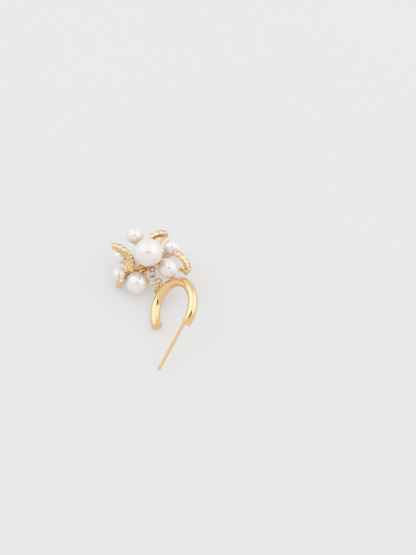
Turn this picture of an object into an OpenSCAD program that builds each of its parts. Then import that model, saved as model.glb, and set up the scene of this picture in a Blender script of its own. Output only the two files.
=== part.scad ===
// Cluster earring: a round gold hoop with a straight ear post, and a ball of pearls
// and stone-set bands that a jump ring links to it. It lies on its side at rest.
// Lengths are in millimetres, +Z is up, and the floor is at z = 0.

/* [Hoop] */
// Radius of the hoop, to the middle of its tube
hoop_r = 6.3; // [5.5:0.05:7.5]
// Diameter of the hoop's round tube
tube_d = 2.25; // [2:0.05:3]
// Angle round the hoop where the post is soldered on
hoop_from = -54; // [-70:1:-40]
// Angle round the hoop of its free end
hoop_to = 202; // [185:1:210]
// How far the hoop's plane leans up from the floor
hoop_lean = 46; // [40:1:55]
// Turn of the hoop about the vertical
hoop_turn = 3; // [-10:1:10]
// Wider rim of the capped free end, beyond the tube's own radius
lip_rise = 0.08; // [0.04:0.02:0.15]
// Thickness of that rim
lip_h = 0.45; // [0.3:0.05:0.8]

/* [Post] */
// Diameter of the ear post
post_d = 0.8; // [0.7:0.05:0.9]
// Length of the ear post outside the tube
post_l = 12.7; // [9:0.1:13]
// Direction of the post in the hoop's plane
post_angle = 223; // [212:1:228]
// Distance of the post from the middle of the tube's end, towards the hoop's centre
post_inset = 0.68; // [0.3:0.02:0.72]
// Distance from the tip to the middle of the groove that a butterfly nut clicks into
groove_at = 1.5; // [1:0.1:2]

/* [Links] */
// Wire diameter of the two soldered eyes
wire_d = 0.42; // [0.35:0.01:0.44]
// Wire diameter of the jump ring that links them
ring_wire_d = 0.4; // [0.3:0.01:0.42]
// Radius of the jump ring, to the middle of its wire
ring_r = 0.96; // [0.94:0.01:0.98]
// Radius of the cluster's eye, to the middle of its wire
eye_r = 0.75; // [0.73:0.01:0.78]
// Radius of the hoop's eye, to the middle of its wire
hoop_eye_r = 0.8; // [0.78:0.01:0.84]
// Angle round the hoop where its eye is soldered on
hoop_eye_angle = 128; // [127:0.5:129]

/* [Pearls] */
// Diameter of the peg that is glued into each pearl
peg_d = 0.7; // [0.5:0.05:0.9]
// Part of a pearl's radius that stays undrilled beyond its middle
peg_stop = 0.25; // [0:0.05:0.5]
// Diameter of a pearl's cup, as a part of the pearl's diameter
cup_share = 0.42; // [0.3:0.02:0.5]
// Thickness of a cup at its rim
cup_h = 0.35; // [0.25:0.05:0.5]

/* [Stone-set bands] */
// Width of a band across its row of stones
band_w = 1.28; // [1.2:0.02:1.5]
// Diameter of a stone
stone_d = 0.86; // [0.8:0.02:0.9]
// Distance from one stone to the next along a band
stone_pitch = 1.2; // [1.15:0.05:1.4]
// Depth of a stone's seat
seat_h = 0.6; // [0.5:0.05:0.7]
// Bevel along the outer edges of a band
band_bevel = 0.12; // [0.05:0.01:0.15]
// Radius of the grains that hold the stones
grain_r = 0.15; // [0.1:0.01:0.18]
// Radius of the flutes cut down a band's side walls
flute_r = 0.17; // [0.1:0.01:0.2]

/* [Cluster] */
// Radius of the ball in the middle of the cluster
core_r = 1.5; // [1.3:0.05:1.55]
// Radius of the ball under the core, where the arms to the lower pearls part
hub_r = 1; // [0.9:0.05:1.2]
// Radius of the ball where the arms to the left part
branch_r = 1; // [0.9:0.05:1.1]
// Diameter of the arms that carry the pearls and bands
arm_d = 0.9; // [0.8:0.05:1]

/* [Fit] */
// Gap between a piece and the metal that holds it
gap = 0.04; // [0.03:0.01:0.06]

/* [Hidden] */
$fn = 48;

// The cluster is laid out round a point on the floor under its core. The whole part is
// then moved so that its own middle stands over the origin.
middle = [1.85, -8.45];
core = [0, 0, 6.2];
branch = [-3.6, -1.1, 5.25];
hub = [0, 0.3, 2.8];
elbow = [5.5, 0.8, 3.4];
arm_start = core_r * 0.7;
hub_start = hub_r * 0.55;
elbow_r = arm_d * 0.75;
// Keeps the seam of the elbow's ball clear of both arms
elbow_turn = 75;

// Columns: name, middle, diameter, the ball that its arm comes from
PEARLS = [
    ["pearl_top", [0.6, 0, 11.3], 6.5, core],
    ["pearl_upper_left", [-2.75, 6, 7.9], 4.1, core],
    ["pearl_upper_right", [5.85, 3.2, 7.15], 3.9, core],
    ["pearl_right", [5.25, -1.7, 6.6], 4.9, core],
    ["pearl_front", [-2.2, -3.75, 2.7], 5.4, hub],
    ["pearl_left", [-6.05, 1.7, 5.9], 3.6, branch],
    ["pearl_lower_left", [-6.3, -1.4, 2.25], 3.7, hub],
    ["pearl_under_back", [-1.1, 4.7, 2.05], 4.1, hub],
    ["pearl_under_right", [5, 3.8, 2.05], 4.1, hub]
];

// Columns: name, centre of the ring that the band is part of, outer radius, depth, tilt and
// turn of the ring's axis, angles of its two ends, number of stones, and the distance from
// the second end to the first stone
BANDS = [
    ["stones_left", [-6.45, 0.8, 5.4], 4.3, 1.15, 65, -125, 92, 222, 7, 1.25],
    ["stones_top", [2.5, 5.35, 7.4], 2.7, 1.3, 84, -70, 88, 226, 4, 0.95],
    ["stones_right", [7.35, -0.4, 6.4], 3.4, 1.15, 74, -132, 60, 222, 6, 0.64],
    ["stones_front", [1.35, -1.5, 1.4], 4, 1.4, 90, 0, 165, 239, 4, 0.64],
    ["stones_lower", [-6.55, -1.4, 2.35], 3.2, 1.1, 74, -172, 49, 179, 3, 0.64],
    ["stones_back", [1.65, 2.05, 4], 4.35, 1.2, 90, 0, 66, 125, 3, 0.64]
];

hoop_centre = [6.35, -11.43, hoop_r * sin(hoop_lean) + tube_d / 2];
ring_centre = [2.65, -4.5, 2.5];
ring_turn = -15;
eye_centre = [2.7, -3.68, 3.21];
eye_tip = 25;
gold = "#e8c064";
pearl_white = "#f4efe8";
clear_stone = "#dfe4ee";

function band_centre(b) = b[1];
function band_r(b) = b[2];
function band_depth(b) = b[3];
function band_tilt(b) = b[4];
function band_turn(b) = b[5];
function band_from(b) = b[6];
function band_to(b) = b[7];
function band_stones(b) = b[8];
function band_lead(b) = b[9];
function named(table, name) = [for (row = table) if (row[0] == name) row][0];

// Angle that a length takes up round a band's outer face
function band_angle(b, length) = length / band_r(b) * 180 / PI;
function stone_angle(b, i) = band_to(b) - band_angle(b, band_lead(b) + i * stone_pitch);

// Point of a ring that is tilted about Y and then turned about Z
function tipped(x, y, z, tilt, turn) =
    let (u = x * cos(tilt) + z * sin(tilt), w = z * cos(tilt) - x * sin(tilt))
    [u * cos(turn) - y * sin(turn), u * sin(turn) + y * cos(turn), w];
function band_point(b, angle, r) =
    band_centre(b) + tipped(r * cos(angle), r * sin(angle), 0, band_tilt(b), band_turn(b));
function band_core_r(b) = band_r(b) - band_depth(b) / 2;
function band_nose(b) = band_depth(b) * 0.85;

// Turns the Z axis into the direction from a to b, at a
module along(a, b) {
    v = b - a;
    translate(a) rotate([0, acos(v.z / norm(v)), atan2(v.y, v.x)]) children();
}

// Round arm from a to b that starts inside the ball at a, away from the ball's middle
module arm(a, b, start, d = arm_d) {
    along(a, b) translate([0, 0, start]) cylinder(d = d, h = norm(b - a) - start);
}

module torus(r, d) {
    rotate_extrude() translate([r, 0]) circle(d = d);
}

// Stands its children at an angle round a band, with +X pointing out of the outer face
module on_band(b, angle) {
    translate(band_centre(b))
        rotate([0, band_tilt(b), band_turn(b)])
            rotate([0, 0, angle]) children();
}

// Cross-section of a band, bevelled along its outer edges
module band_section(b) {
    r = band_r(b);
    h = band_w / 2;
    polygon([
        [r - band_depth(b), -h], [r - band_bevel, -h], [r, band_bevel - h],
        [r, h - band_bevel], [r - band_bevel, h], [r - band_depth(b), h]
    ]);
}

// Cuts an end of a band to a half round; side is 1 or -1 for the way that the band ends
module end_cutter(b, angle, side) {
    over = 1;
    on_band(b, angle - side * band_angle(b, band_w / 2))
        translate([band_r(b) - band_depth(b) - over, 0, 0])
            rotate([0, 90, 0])
                difference() {
                    translate([-band_w, side > 0 ? 0 : -band_w, 0])
                        cube([2 * band_w, band_w, band_depth(b) + 2 * over]);
                    translate([0, 0, -over])
                        cylinder(d = band_w, h = band_depth(b) + 4 * over);
                }
}

// Rounds the outer corner of the plain end of a band
module nose_cutter(b) {
    nose_r = band_nose(b);
    angle = band_from(b) + band_angle(b, nose_r);
    over = 1;
    on_band(b, angle) translate([band_r(b) - nose_r, 0, -band_w]) difference() {
        translate([0, -nose_r - over, 0]) cube([nose_r + over, nose_r + over, 2 * band_w]);
        translate([0, 0, -over]) cylinder(r = nose_r, h = 2 * band_w + 2 * over);
    }
}

// Seat of one stone
module seat(b, angle) {
    on_band(b, angle)
        translate([band_r(b) - seat_h, 0, 0])
            rotate([0, 90, 0]) cylinder(d = stone_d + 2 * gap, h = 2 * seat_h);
}

// The two flutes beside the gap between two stones
module flutes(b, angle) {
    over = 0.5;
    for (side = [-1, 1])
        on_band(b, angle)
            translate([band_r(b) - band_depth(b) - over, 0, side * (band_w / 2 + flute_r * 0.3)])
                rotate([0, 90, 0]) cylinder(r = flute_r, h = band_depth(b) + 2 * over, $fn = 24);
}

// The two grains between two stones
module grains(b, angle) {
    for (side = [-1, 1])
        on_band(b, angle)
            translate([band_r(b) - grain_r * 0.3, 0, side * stone_d * 0.42])
                sphere(r = grain_r, $fn = 16);
}

// One curved band with its seats, flutes and grains
module band(b) {
    difference() {
        on_band(b, band_from(b))
            rotate_extrude(angle = band_to(b) - band_from(b), $fn = 96) band_section(b);
        end_cutter(b, band_to(b), 1);
        end_cutter(b, band_from(b), -1);
        nose_cutter(b);
        for (i = [0 : band_stones(b) - 1]) seat(b, stone_angle(b, i));
        for (i = [0 : band_stones(b) - 1]) flutes(b, stone_angle(b, i + 0.5));
    }
    for (i = [0 : band_stones(b) - 1])
        if (stone_angle(b, i + 0.5) > band_from(b) + band_angle(b, band_nose(b) * 0.6))
            grains(b, stone_angle(b, i + 0.5));
}

// A cut stone, table up at z = 0: table, crown, girdle and pavilion
module stone(d) {
    table_r = d * 0.28;
    girdle_z = -d * 0.15;
    culet_z = -d * 0.55;
    n = 8;
    table = [for (i = [0 : n - 1]) [table_r * cos(i * 45), table_r * sin(i * 45), 0]];
    girdle = [for (i = [0 : 2 * n - 1])
        [d / 2 * cos(i * 22.5), d / 2 * sin(i * 22.5), girdle_z]];
    polyhedron(
        points = concat(table, girdle, [[0, 0, culet_z]]),
        faces = concat(
            [[for (i = [n - 1 : -1 : 0]) i]],
            [for (i = [0 : n - 1]) [i, (i + 1) % n, n + 2 * i + 1]],
            [for (i = [0 : n - 1]) [i, n + 2 * i + 1, n + 2 * i]],
            [for (i = [0 : n - 1]) [(i + 1) % n, n + (2 * i + 2) % (2 * n), n + 2 * i + 1]],
            [for (i = [0 : 2 * n - 1]) [n + i, n + (i + 1) % (2 * n), 3 * n]]
        )
    );
}

// The row of loose stones in one band
module stones(name) {
    b = named(BANDS, name);
    table_rise = 0.03;
    color(clear_stone)
        for (i = [0 : band_stones(b) - 1])
            on_band(b, stone_angle(b, i))
                translate([band_r(b) + table_rise, 0, 0]) rotate([0, 90, 0]) stone(stone_d);
}

// Moves the cluster's layout to the part's own frame
module place() {
    translate([-middle.x, -middle.y, 0]) children();
}

module in_hoop_plane() {
    translate(hoop_centre) rotate([0, -hoop_lean, hoop_turn]) children();
}

// Post with its groove and round tip, along +Z from the end face of the tube
module post() {
    root = 0.3;
    groove_r = 0.2;
    groove_depth = 0.07;
    difference() {
        union() {
            translate([0, 0, -root]) cylinder(d = post_d, h = post_l + root - post_d / 2);
            translate([0, 0, post_l - post_d / 2]) sphere(d = post_d);
        }
        translate([0, 0, post_l - groove_at])
            torus(post_d / 2 + groove_r - groove_depth, 2 * groove_r);
    }
}

// Tube, capped end, post and eye, soldered into one
module ear_hoop() {
    post_start = (hoop_r - post_inset) * [cos(hoop_from), sin(hoop_from)];
    hoop_eye_at = hoop_r + tube_d / 2 + hoop_eye_r;
    color(gold) place() in_hoop_plane() {
        rotate([0, 0, hoop_from])
            rotate_extrude(angle = hoop_to - hoop_from, $fn = 96)
                translate([hoop_r, 0]) circle(d = tube_d);
        rotate([0, 0, hoop_to]) translate([hoop_r, 0, 0]) rotate([90, 0, 0])
            translate([0, 0, -lip_h / 2]) rotate_extrude() {
                square([tube_d / 2 + lip_rise - lip_h / 4, lip_h]);
                translate([tube_d / 2 + lip_rise - lip_h / 4, lip_h / 2]) circle(d = lip_h / 2);
            }
        translate([post_start.x, post_start.y, 0])
            rotate([0, 90, post_angle]) post();
        rotate([0, 0, hoop_eye_angle]) translate([hoop_eye_at, 0, 0]) torus(hoop_eye_r, wire_d);
    }
}

module jump_ring() {
    color(gold) place() translate(ring_centre)
        rotate([0, 90, ring_turn]) torus(ring_r, ring_wire_d);
}

// Arm, cup and peg that carry one pearl, turned as one pin
module pearl_holder(p) {
    r = p[2] / 2;
    reach = norm(p[1] - p[3]);
    cup_r = r * cup_share;
    rim = reach - sqrt(pow(r + gap, 2) - cup_r * cup_r);
    bottom = reach - r - gap - cup_h;
    start = p[3] == core ? arm_start : hub_start;
    along(p[3], p[1]) rotate_extrude() {
        translate([0, start]) square([peg_d / 2, reach + r * peg_stop - gap - start]);
        difference() {
            union() {
                translate([0, start]) square([arm_d / 2, bottom + cup_h / 2 - start]);
                translate([0, bottom]) square([cup_r, rim - bottom]);
            }
            translate([0, reach]) circle(r = r + gap);
        }
    }
}

// Core, arms, cups, pegs, bands and eye, soldered into one
module cluster_frame() {
    left = named(BANDS, "stones_left");
    top = named(BANDS, "stones_top");
    right = named(BANDS, "stones_right");
    front = named(BANDS, "stones_front");
    lower = named(BANDS, "stones_lower");
    back = named(BANDS, "stones_back");
    color(gold) place() {
        translate(core) sphere(r = core_r);
        translate(branch) sphere(r = branch_r);
        translate(hub) sphere(r = hub_r);
        translate(elbow) rotate([0, 0, elbow_turn]) sphere(r = elbow_r);
        for (p = PEARLS) pearl_holder(p);
        for (b = BANDS) band(b);
        arm(core, branch, arm_start, 1.4);
        arm(core, hub, arm_start, 1.4);
        arm(core, elbow, arm_start);
        arm(core, band_point(top, band_from(top) + 16, band_core_r(top)), arm_start, 0.75);
        arm(core, band_point(front, band_from(front) + 3, band_core_r(front) - 0.1), arm_start);
        arm(branch, band_point(left, band_from(left) + 10, band_core_r(left)), hub_start, 1.3);
        arm(branch, band_point(lower, band_to(lower) - 16, band_core_r(lower) - 0.45), hub_start, 0.7);
        arm(elbow, band_point(right, band_from(right) + 16, band_core_r(right)), elbow_r * 0.6);
        arm(hub, band_point(back, 90, band_core_r(back) - 0.2), hub_start);
        translate(eye_centre) rotate([eye_tip, 0, 0]) torus(eye_r, wire_d);
    }
}

// One pearl, drilled for its peg
module pearl(name) {
    p = named(PEARLS, name);
    r = p[2] / 2;
    reach = norm(p[1] - p[3]);
    color(pearl_white) place() difference() {
        translate(p[1]) sphere(r = r, $fn = 96);
        along(p[3], p[1]) cylinder(d = peg_d + 2 * gap, h = reach + r * peg_stop);
    }
}

ear_hoop();
jump_ring();
cluster_frame();
for (p = PEARLS) pearl(p[0]);
for (b = BANDS) place() stones(b[0]);
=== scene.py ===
"""Looks of a cluster earring that lies on a pale surface: polished gold, pearls and cut stones."""
import math

import bmesh
import bpy
from mathutils import Matrix, Vector


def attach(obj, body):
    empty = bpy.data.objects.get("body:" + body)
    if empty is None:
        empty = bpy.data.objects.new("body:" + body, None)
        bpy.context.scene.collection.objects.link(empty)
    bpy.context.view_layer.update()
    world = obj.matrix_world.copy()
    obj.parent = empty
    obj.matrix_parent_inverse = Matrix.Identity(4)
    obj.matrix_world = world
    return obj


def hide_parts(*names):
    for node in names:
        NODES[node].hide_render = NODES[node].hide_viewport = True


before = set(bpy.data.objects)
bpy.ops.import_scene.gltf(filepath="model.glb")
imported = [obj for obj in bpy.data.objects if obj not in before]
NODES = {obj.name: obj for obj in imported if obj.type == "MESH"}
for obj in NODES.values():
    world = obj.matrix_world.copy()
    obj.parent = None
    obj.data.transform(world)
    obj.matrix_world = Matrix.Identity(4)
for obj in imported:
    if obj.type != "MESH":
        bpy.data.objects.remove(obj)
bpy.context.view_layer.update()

MM = 0.001
PEARL_NODES = sorted(name for name in NODES if name.startswith("pearl_"))
STONE_NODES = sorted(name for name in NODES if name.startswith("stones_"))

# Middle of the ball that the cluster's arms start from, and of the painted shade on the frame's gold
CLUSTER_CORE = Vector((-1.85, 8.45, 6.2)) * MM
# Distances from it within which the gold is fully dull and painted dark as shade, and beyond which it is
# as bright as elsewhere, and the roughness that it gains there
RECESS_SHADE_FROM = 2.1 * MM
RECESS_SHADE_TO = 3.5 * MM
RECESS_ROUGHNESS = 0.3

# Angle at which the camera looks down, from the side of the post, and its place
CAMERA_ELEVATION = 65
CAMERA_AT = Vector((12.295, -197.083, 438.532)) * MM
# Lens and sensor, in millimetres
CAMERA_LENS = 135
SENSOR_LONG_SIDE = 36
# Half width and half height of the camera's front, in metres
CAMERA_BODY = (0.19, 0.08)

# Radiance of the white tent and of its open side
TENT_LEVEL = 1.25
VIEWER_SIDE_LEVEL = 1.2
# Light of the seam down the tent's middle, as a part of the tent's, and the sines of the
# angles from the middle at which the seam is dimmest and ends
SEAM_SHARE = 0.5
SEAM_FROM = 0.02
SEAM_TO = 0.07
# The way that the tent lies from its open side, and the cosines at which its rim starts
# and ends
TENT_SIDE = (0.22, 0.88, 0.41)
RIM_FROM = -0.02
RIM_TO = 0.03
# Directions of the two lamps behind the tent, the light they add, and the cosines of the
# angles at which each lamp's glow ends and is full
LAMPS = [(-0.64, 0.2, 0.74), (0.7, 0.13, 0.7)]
LAMP_LEVEL = 1.75
LAMP_EDGE = 0.66
LAMP_CORE = 0.97

# Radius of the round floor, and the distance below which two points of a mesh are one
FLOOR_R = 3
SAME_POINT = 1e-7

# Radiance that comes out as full white, and how radiance maps to the picture's linear values
BRIGHTEST = 2.8
TONE = [(0, 0), (0.25, 0.24), (0.5, 0.46), (0.8, 0.66), (1.1, 0.81), (1.5, 0.905), (2.0, 0.96), (2.8, 1)]


def look_at(obj, target):
    """Turns an object's -Z axis towards a point."""
    obj.rotation_euler = (Vector(target) - obj.location).to_track_quat("-Z", "Y").to_euler()


def add_camera():
    data = bpy.data.cameras.new("camera")
    data.lens = CAMERA_LENS
    data.sensor_width = SENSOR_LONG_SIDE
    data.clip_start = 0.01
    data.clip_end = 50
    camera = bpy.data.objects.new("camera", data)
    camera.location = CAMERA_AT
    camera.rotation_euler = (math.radians(90 - CAMERA_ELEVATION), 0, 0)
    bpy.context.scene.collection.objects.link(camera)
    bpy.context.scene.camera = camera


def new_material(name):
    """A material and its shader."""
    material = bpy.data.materials.new(name)
    material.use_nodes = True
    return material, material.node_tree.nodes["Principled BSDF"]


def node(material, kind, **values):
    """Adds a shader node, with its sockets and properties set by name."""
    made = material.node_tree.nodes.new(kind)
    for key, value in values.items():
        if key in made.inputs:
            made.inputs[key].default_value = value
        else:
            setattr(made, key, value)
    return made


def link(material, source, target):
    material.node_tree.links.new(source, target)


def object_coordinates(material):
    return node(material, "ShaderNodeTexCoord").outputs["Object"]


def noise_field(material, size, detail=2.0, roughness=0.5):
    """Noise whose features are about this many metres across."""
    field = node(material, "ShaderNodeTexNoise", Scale=1 / size, Detail=detail, Roughness=roughness)
    link(material, object_coordinates(material), field.inputs["Vector"])
    return field


def mapped(material, source, low, high, from_low=0.3, from_high=0.7):
    """Spreads a value, such as a noise field's, over low to high."""
    spread = node(material, "ShaderNodeMapRange")
    spread.inputs["From Min"].default_value = from_low
    spread.inputs["From Max"].default_value = from_high
    spread.inputs["To Min"].default_value = low
    spread.inputs["To Max"].default_value = high
    link(material, source, spread.inputs["Value"])
    return spread.outputs["Result"]


def mixed_colour(material, factor, first, second, source=None):
    """Mixes two colours, or the colour from a socket with the second one."""
    mix = node(material, "ShaderNodeMix", data_type="RGBA")
    mix.inputs[6].default_value = first
    mix.inputs[7].default_value = second
    if source:
        link(material, source, mix.inputs[6])
    link(material, factor, mix.inputs[0])
    return mix.outputs[2]


def bumped(material, shader, *layers):
    """Stacks bump layers, each (height output, distance in metres, strength)."""
    normal = None
    for height, distance, strength in layers:
        bump = node(material, "ShaderNodeBump", Distance=distance, Strength=strength)
        link(material, height, bump.inputs["Height"])
        if normal is not None:
            link(material, normal, bump.inputs["Normal"])
        normal = bump.outputs["Normal"]
    link(material, normal, shader.inputs["Normal"])


def gold_material(name, recess=None):
    """Polished yellow gold plating with faint waviness and hairlines from wear.

    Around the recess point the gold is painted darker and browner, a painted shade for the hollow among
    the arms, and it is also rougher there.
    """
    material, shader = new_material(name)
    shader.inputs["Metallic"].default_value = 1
    tone = noise_field(material, 3 * MM).outputs["Fac"]
    colour = mixed_colour(material, tone, (0.85, 0.535, 0.26, 1), (0.83, 0.51, 0.235, 1))
    polish = noise_field(material, 0.8 * MM, detail=4).outputs["Fac"]
    roughness = mapped(material, polish, 0.02, 0.05)
    if recess:
        # Painted shade: near the core the gold colour is mixed towards dark brown and made rougher
        reach = node(material, "ShaderNodeVectorMath", operation="DISTANCE")
        reach.inputs[1].default_value = recess
        link(material, object_coordinates(material), reach.inputs[0])
        recess_shade = mapped(material, reach.outputs["Value"], 1, 0, RECESS_SHADE_FROM, RECESS_SHADE_TO)
        colour = mixed_colour(material, recess_shade, (0, 0, 0, 1), (0.58, 0.38, 0.20, 1), colour)
        dull = node(material, "ShaderNodeMath", operation="MULTIPLY_ADD")
        dull.inputs[1].default_value = RECESS_ROUGHNESS
        link(material, recess_shade, dull.inputs[0])
        link(material, roughness, dull.inputs[2])
        roughness = dull.outputs["Value"]
    link(material, colour, shader.inputs["Base Color"])
    link(material, roughness, shader.inputs["Roughness"])
    waves = noise_field(material, 2.2 * MM).outputs["Fac"]
    grain = noise_field(material, 0.12 * MM, detail=3).outputs["Fac"]
    bumped(material, shader, (waves, 0.012 * MM, 0.5), (grain, 0.002 * MM, 0.3))
    return material


def pearl_material():
    """White nacre: a soft body under a glossy coat, with a thin film for the pink overtone."""
    material, shader = new_material("white_pearl")
    cloud = noise_field(material, 1.6 * MM).outputs["Fac"]
    colour = mixed_colour(material, cloud, (0.74, 0.668, 0.622, 1), (0.71, 0.632, 0.582, 1))
    link(material, colour, shader.inputs["Base Color"])
    shader.inputs["Roughness"].default_value = 0.25
    shader.inputs["IOR"].default_value = 1.6
    shader.inputs["Subsurface Weight"].default_value = 0.2
    shader.inputs["Subsurface Radius"].default_value = (1, 0.8, 0.7)
    shader.inputs["Subsurface Scale"].default_value = 0.5 * MM
    shader.inputs["Coat Weight"].default_value = 1
    shader.inputs["Coat Roughness"].default_value = 0.02
    shader.inputs["Coat IOR"].default_value = 3.6
    shader.inputs["Thin Film Thickness"].default_value = 330
    shader.inputs["Thin Film IOR"].default_value = 1.45
    dimples = noise_field(material, 0.35 * MM, detail=3).outputs["Fac"]
    bumped(material, shader, (dimples, 0.006 * MM, 0.4))
    return material


def stone_material():
    """Clear cut stone."""
    material, shader = new_material("clear_stone")
    shader.inputs["Base Color"].default_value = (0.98, 0.98, 1.0, 1)
    shader.inputs["Roughness"].default_value = 0.0
    shader.inputs["IOR"].default_value = 1.55
    shader.inputs["Transmission Weight"].default_value = 1
    return material


def foil_material():
    """Silver foil on the back of a stone."""
    material, shader = new_material("silver_foil")
    shader.inputs["Metallic"].default_value = 1
    shader.inputs["Base Color"].default_value = (0.96, 0.95, 0.99, 1)
    shader.inputs["Roughness"].default_value = 0.15
    return material


def floor_material():
    """Pale matt surface that glows a little, a painted glow that thins the shadows; the glow is warmer
    than the faintly blue base, so the shadows come out warm.
    """
    material, shader = new_material("pale_surface_painted_glow")
    shade = noise_field(material, 60 * MM).outputs["Fac"]
    colour = mixed_colour(material, shade, (0.36, 0.38, 0.385, 1), (0.35, 0.37, 0.375, 1))
    link(material, colour, shader.inputs["Base Color"])
    shader.inputs["Roughness"].default_value = 0.6
    shader.inputs["Specular IOR Level"].default_value = 0.2
    # Painted light: a warm glow from the surface itself, which lifts and warms the shadows
    shader.inputs["Emission Color"].default_value = (1.0, 0.94, 0.92, 1)
    shader.inputs["Emission Strength"].default_value = 0.44
    return material


def dress(names, material):
    """Gives CAD nodes their material."""
    for name in names:
        obj = NODES[name]
        obj.data.materials.clear()
        obj.data.materials.append(material)


def add_piece(name, mesh, material, slot, *replaced):
    """Links a new piece that rides on the earring and may stand for CAD nodes."""
    obj = bpy.data.objects.new(name, mesh)
    mesh.materials.append(material)
    bpy.context.scene.collection.objects.link(obj)
    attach(obj, "root")
    if replaced:
        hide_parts(*replaced)
    return obj


def loose_solids(mesh):
    """The points of each loose solid of a mesh, the one where most edges meet first."""
    work = bmesh.new()
    work.from_mesh(mesh)
    bmesh.ops.remove_doubles(work, verts=work.verts, dist=SAME_POINT)
    solids = []
    seen = set()
    for start in work.verts:
        if start in seen:
            continue
        seen.add(start)
        stack = [start]
        solid = []
        while stack:
            vert = stack.pop()
            solid.append(vert)
            for edge in vert.link_edges:
                other = edge.other_vert(vert)
                if other not in seen:
                    seen.add(other)
                    stack.append(other)
        solid.sort(key=lambda v: -len(v.link_edges))
        solids.append([v.co.copy() for v in solid])
    work.free()
    return solids


# Proportions of a round brilliant, for a girdle radius of 1
TABLE_R = 0.56
CROWN_H = 0.30
STAR_R = 0.76
GIRDLE_H = 0.05
PAVILION_H = 0.86
LOWER_R = 0.24


def brilliant():
    """Points and faces of a round brilliant with its girdle's top edge at z = 0."""
    def ring(radius, z, first, count=8):
        return [Vector((radius * math.cos(math.radians(first + k * 360 / count)),
                        radius * math.sin(math.radians(first + k * 360 / count)), z))
                for k in range(count)]
    half_step = math.cos(math.radians(22.5))
    star_z = CROWN_H * (1 - STAR_R * half_step) / (1 - TABLE_R)
    lower_z = -GIRDLE_H - PAVILION_H * (1 - LOWER_R * half_step)
    points = (ring(TABLE_R, CROWN_H, 0) + ring(STAR_R, star_z, 22.5) + ring(1, 0, 0, 16)
              + ring(1, -GIRDLE_H, 0, 16) + ring(LOWER_R, lower_z, 22.5)
              + [Vector((0, 0, -GIRDLE_H - PAVILION_H))])
    # First point of each ring, and the culet's
    table, star, upper, lower, keel, culet = 0, 8, 16, 32, 48, 56
    faces = [[table + k for k in range(8)]]
    for k in range(8):
        after = (k + 1) % 8
        before = (k - 1) % 8
        main, half, next_main = 2 * k, 2 * k + 1, 2 * after
        faces += [
            [table + k, star + k, table + after],
            [table + k, star + before, upper + main, star + k],
            [upper + main, upper + half, star + k],
            [upper + half, upper + next_main, star + k],
            [lower + main, lower + half, upper + half, upper + main],
            [lower + half, lower + next_main, upper + next_main, upper + half],
            [lower + half, lower + main, keel + k],
            [lower + next_main, lower + half, keel + k],
            [culet, keel + k, lower + main, keel + before],
        ]
    return points, faces


def stone_row(name, material, foil):
    """Replaces a row of plain stones by foil-backed brilliants in the same seats."""
    shape, faces = brilliant()
    work = bmesh.new()
    for points in loose_solids(NODES[name].data):
        middle = sum(points, Vector()) / len(points)
        culet = points[0]
        axis = (middle - culet).normalized()
        height = max((p - culet).dot(axis) for p in points)
        girdle = max(points, key=lambda p: (p - culet - axis * (p - culet).dot(axis)).length)
        out = girdle - culet - axis * (girdle - culet).dot(axis)
        radius = out.length
        across = axis.cross(out.normalized())
        turn = Matrix((out.normalized(), across, axis)).transposed()
        top = culet + axis * height
        verts = []
        for p in shape:
            local = Vector((p.x, p.y, p.z - CROWN_H)) * radius
            verts.append(work.verts.new(top + turn @ local))
        for face in faces:
            made = work.faces.new([verts[i] for i in face])
            made.material_index = 1 if max(shape[i].z for i in face) < 0 else 0
    bmesh.ops.recalc_face_normals(work, faces=work.faces)
    mesh = bpy.data.meshes.new(name + "_cut")
    work.to_mesh(mesh)
    work.free()
    add_piece(name + "_cut", mesh, material, "stone", name)
    mesh.materials.append(foil)


def add_floor(material):
    work = bmesh.new()
    bmesh.ops.create_circle(work, cap_ends=True, segments=96, radius=FLOOR_R)
    mesh = bpy.data.meshes.new("surface")
    work.to_mesh(mesh)
    work.free()
    mesh.materials.append(material)
    obj = bpy.data.objects.new("surface", mesh)
    bpy.context.scene.collection.objects.link(obj)


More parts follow.
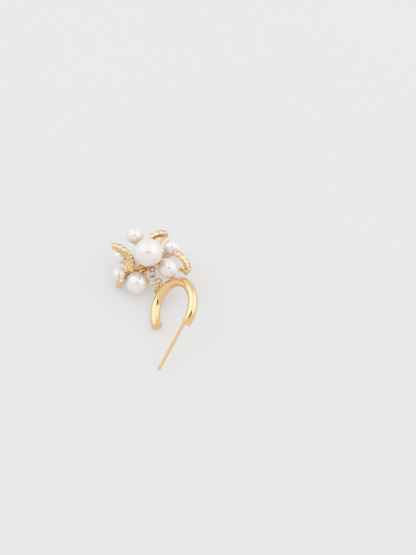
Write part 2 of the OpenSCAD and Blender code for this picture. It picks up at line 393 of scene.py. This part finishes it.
def set_world():
    """A white tent with a lamp behind each side and a seam down its middle, open to the viewer."""
    world = bpy.data.worlds.new("tent")
    world.use_nodes = True
    bpy.context.scene.world = world
    tree = world.node_tree

    def spread(source, low, high, from_low, from_high):
        made = tree.nodes.new("ShaderNodeMapRange")
        made.inputs["From Min"].default_value = from_low
        made.inputs["From Max"].default_value = from_high
        made.inputs["To Min"].default_value = low
        made.inputs["To Max"].default_value = high
        tree.links.new(source, made.inputs["Value"])
        return made.outputs["Result"]

    def maths(kind, first, second=None):
        made = tree.nodes.new("ShaderNodeMath")
        made.operation = kind
        tree.links.new(first, made.inputs[0])
        if second is not None:
            tree.links.new(second, made.inputs[1])
        return made.outputs["Value"]

    direction = tree.nodes.new("ShaderNodeTexCoord").outputs["Generated"]

    def towards(way):
        made = tree.nodes.new("ShaderNodeVectorMath")
        made.operation = "DOT_PRODUCT"
        made.inputs[1].default_value = Vector(way).normalized()
        tree.links.new(direction, made.inputs[0])
        return made.outputs["Value"]

    across = maths("ABSOLUTE", towards((1, 0, 0)))
    tent = spread(across, SEAM_SHARE * TENT_LEVEL, TENT_LEVEL, SEAM_FROM, SEAM_TO)
    for way in LAMPS:
        lamp = spread(towards(way), 0, LAMP_LEVEL, LAMP_EDGE, LAMP_CORE)
        tent = maths("ADD", tent, lamp)
    inside = spread(towards(TENT_SIDE), 0, 1, RIM_FROM, RIM_TO)
    outside = spread(inside, VIEWER_SIDE_LEVEL, 0, 0, 1)
    level = maths("ADD", maths("MULTIPLY", tent, inside), outside)
    background = tree.nodes["Background"]
    background.inputs["Color"].default_value = (1, 0.995, 0.99, 1)
    tree.links.new(level, background.inputs["Strength"])


def add_camera_front():
    """The camera's dark front, which shows as small black spots in polished metal and pearls."""
    work = bmesh.new()
    bmesh.ops.create_circle(work, cap_ends=True, segments=48, radius=1)
    mesh = bpy.data.meshes.new("camera_front")
    work.to_mesh(mesh)
    work.free()
    material, shader = new_material("camera_black")
    shader.inputs["Base Color"].default_value = (0.01, 0.01, 0.01, 1)
    shader.inputs["Roughness"].default_value = 0.5
    mesh.materials.append(material)
    obj = bpy.data.objects.new("camera_front", mesh)
    obj.location = CAMERA_AT
    look_at(obj, (0, 0, 0))
    obj.scale = (*CAMERA_BODY, 1)
    obj.visible_camera = False
    bpy.context.scene.collection.objects.link(obj)


def set_tone():
    """A soft shoulder, as a photograph has, that keeps colour in the highlights pale."""
    view = bpy.context.scene.view_settings
    view.view_transform = "Standard"
    view.look = "None"
    view.use_curve_mapping = True
    curves = view.curve_mapping
    curves.white_level = (BRIGHTEST, BRIGHTEST, BRIGHTEST)
    curve = curves.curves[3]
    for light, shown in TONE[1:-1]:
        curve.points.new(light / BRIGHTEST, shown)
    curve.points[0].location = (0, 0)
    curve.points[-1].location = (1, TONE[-1][1])
    curves.update()


add_camera()
gold = gold_material("polished_gold")
# The cluster frame's gold, painted darker around its core as shade
frame_gold_painted_shade = gold_material("cast_gold_painted_shade", CLUSTER_CORE)
pearl = pearl_material()
stone = stone_material()
foil = foil_material()
dress(["ear_hoop", "jump_ring"], gold)
dress(["cluster_frame"], frame_gold_painted_shade)
dress(PEARL_NODES, pearl)
for name in STONE_NODES:
    stone_row(name, stone, foil)

add_floor(floor_material())
set_world()
add_camera_front()
set_tone()
